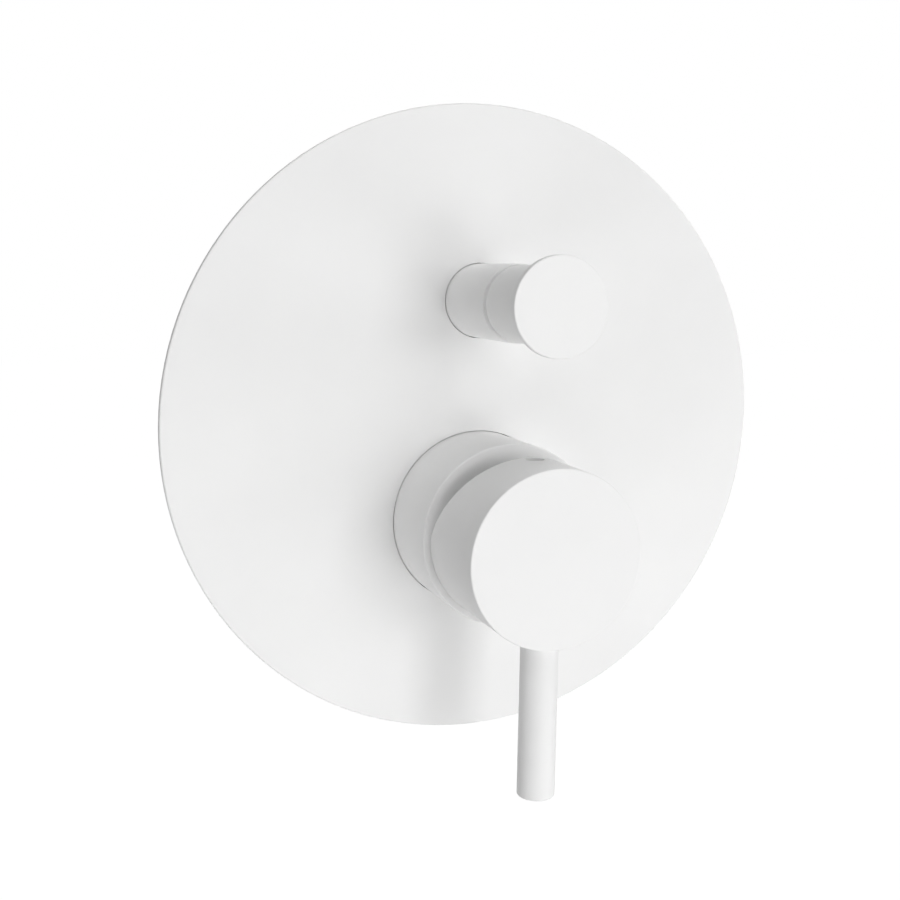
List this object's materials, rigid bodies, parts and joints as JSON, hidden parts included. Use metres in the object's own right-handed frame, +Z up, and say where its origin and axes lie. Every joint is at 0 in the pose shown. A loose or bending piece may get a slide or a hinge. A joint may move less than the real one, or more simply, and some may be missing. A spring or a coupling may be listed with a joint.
{
  "type": "shower mixer",
  "caption": "Concealed single-lever shower mixer: round wall plate, lever handle with a straight rod, pull diverter knob above, brass valve body behind.",
  "frame": {"origin": "centre of the round wall plate, on the finished wall's surface", "axes": "+Z up, front faces -Y, +X to the right seen from the front; what lies inside the wall is at +Y"},
  "size_m": [0.18, 0.1252, 0.1822],
  "materials": {
    "white_coat": "matt white powder coat",
    "cast_brass": "sand-cast skin with machined ends",
    "turned_brass": "turned",
    "steel": "turned stainless steel",
    "ceramic": "lapped alumina ceramic",
    "cartridge_plastic": "moulded acetal",
    "rubber": "moulded rubber",
    "foam": "closed-cell foam"
  },
  "bodies": {
    "root": {"wall_plate": "white_coat", "plate_gasket": "foam", "lever_sleeve": "white_coat", "lever_sleeve_seal": "rubber", "diverter_sleeve": "white_coat", "diverter_sleeve_seal": "rubber", "valve_body": "cast_brass", "tower_ring": "rubber", "cartridge_nut": "turned_brass", "cartridge_shell": "cartridge_plastic", "cartridge_base": "cartridge_plastic", "port_seals": "rubber", "disc_seals": "rubber", "fixed_disc": "ceramic", "diverter_bush": "turned_brass", "bush_nose_seal": "rubber", "bush_washer": "rubber", "spindle_seals": "rubber"},
    "turret": {"cartridge_rotor": "cartridge_plastic", "pivot_pin": "steel"},
    "lever": {"lever_spindle": "steel", "lever_handle": "white_coat", "lever_rod": "white_coat", "handle_set_screw": "steel"},
    "slider": {"disc_carrier": "cartridge_plastic", "moving_disc": "ceramic"},
    "diverter": {"diverter_knob": "white_coat", "diverter_spindle": "steel", "diverter_piston": "cartridge_plastic", "piston_seals": "rubber", "spindle_nut": "turned_brass"}
  },
  "joints": [
    {"name": "lever_turn", "type": "hinge", "parent": "root", "child": "turret", "pos_m": [0, -0.027, -0.0268], "axis": [0, -1, 0], "range_deg": [-50, 50]},
    {"name": "lever_lift", "type": "hinge", "parent": "turret", "child": "lever", "pos_m": [0, -0.027, -0.0268], "axis": [-1, 0, 0], "range_deg": [0, 22]},
    {"name": "disc_slide", "type": "slide", "parent": "turret", "child": "slider", "axis": [0, 0, -1], "range_m": [0, 0.0034]},
    {"name": "diverter_pull", "type": "slide", "parent": "root", "child": "diverter", "axis": [0, -1, 0], "range_m": [0, 0.008]}
  ],
  "couplings": [
    {"joint": "disc_slide", "follows": "lever_lift", "m_per_rad": 0.00878}
  ]
}
